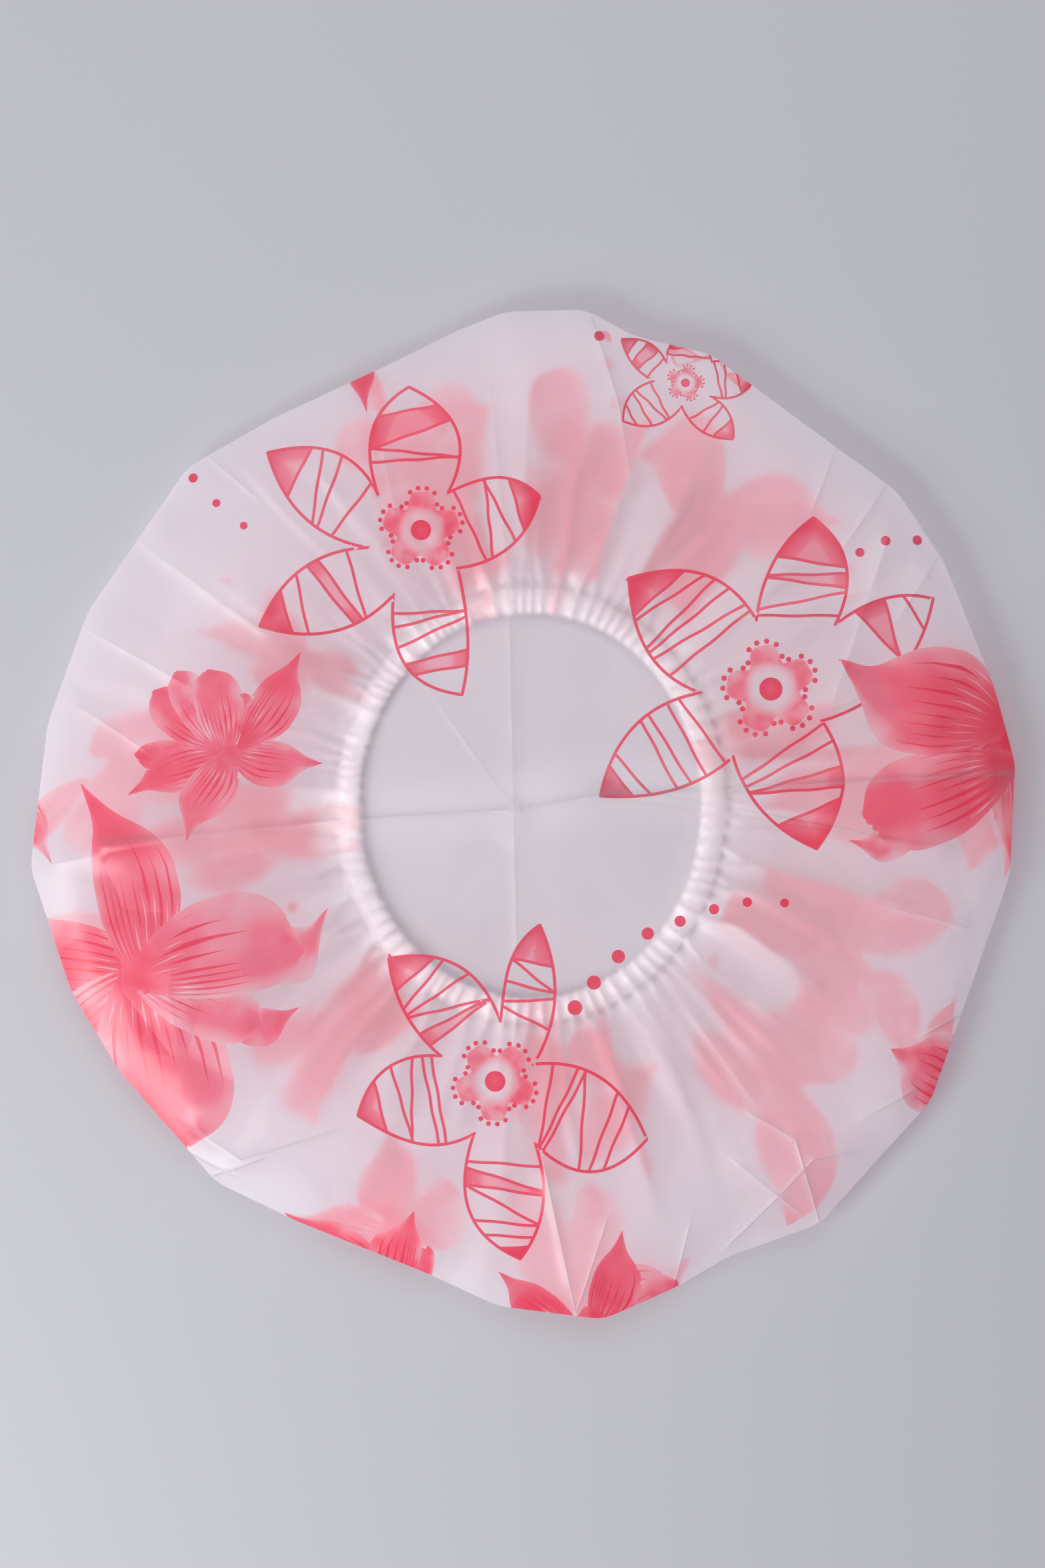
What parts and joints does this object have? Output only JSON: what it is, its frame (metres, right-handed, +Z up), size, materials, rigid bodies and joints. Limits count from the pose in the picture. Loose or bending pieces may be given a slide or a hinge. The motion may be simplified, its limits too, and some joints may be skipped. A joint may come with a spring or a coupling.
{
  "type": "shower cap",
  "caption": "Translucent printed film shower cap lying flat: round crown over a gathered underside and an elastic opening.",
  "frame": {"origin": "middle of the cap's outer size, on the surface that its hem lies on", "axes": "+Z up out of the crown, +X to the right and +Y to the top of the pictured view"},
  "size_m": [0.2806, 0.2874, 0.0167],
  "materials": {
    "film": "milky translucent soft film with a pink floral print, satin, creased from packing",
    "elastic": "white braided elastic, matt",
    "thread": "white polyester sewing thread"
  },
  "bodies": {
    "hem": {"hem_casing": "film", "elastic_band": "elastic", "elastic_join_stitch": "thread", "seam_needle_thread": "thread", "seam_bobbin_thread": "thread", "skirt_film": "film"},
    "crown": {"crown_film": "film"}
  },
  "joints": [
    {"name": "crown_lift", "type": "slide", "parent": "hem", "child": "crown", "axis": [0, 0, 1], "range_m": [0, 0.04], "deforming": ["skirt_film"]}
  ]
}
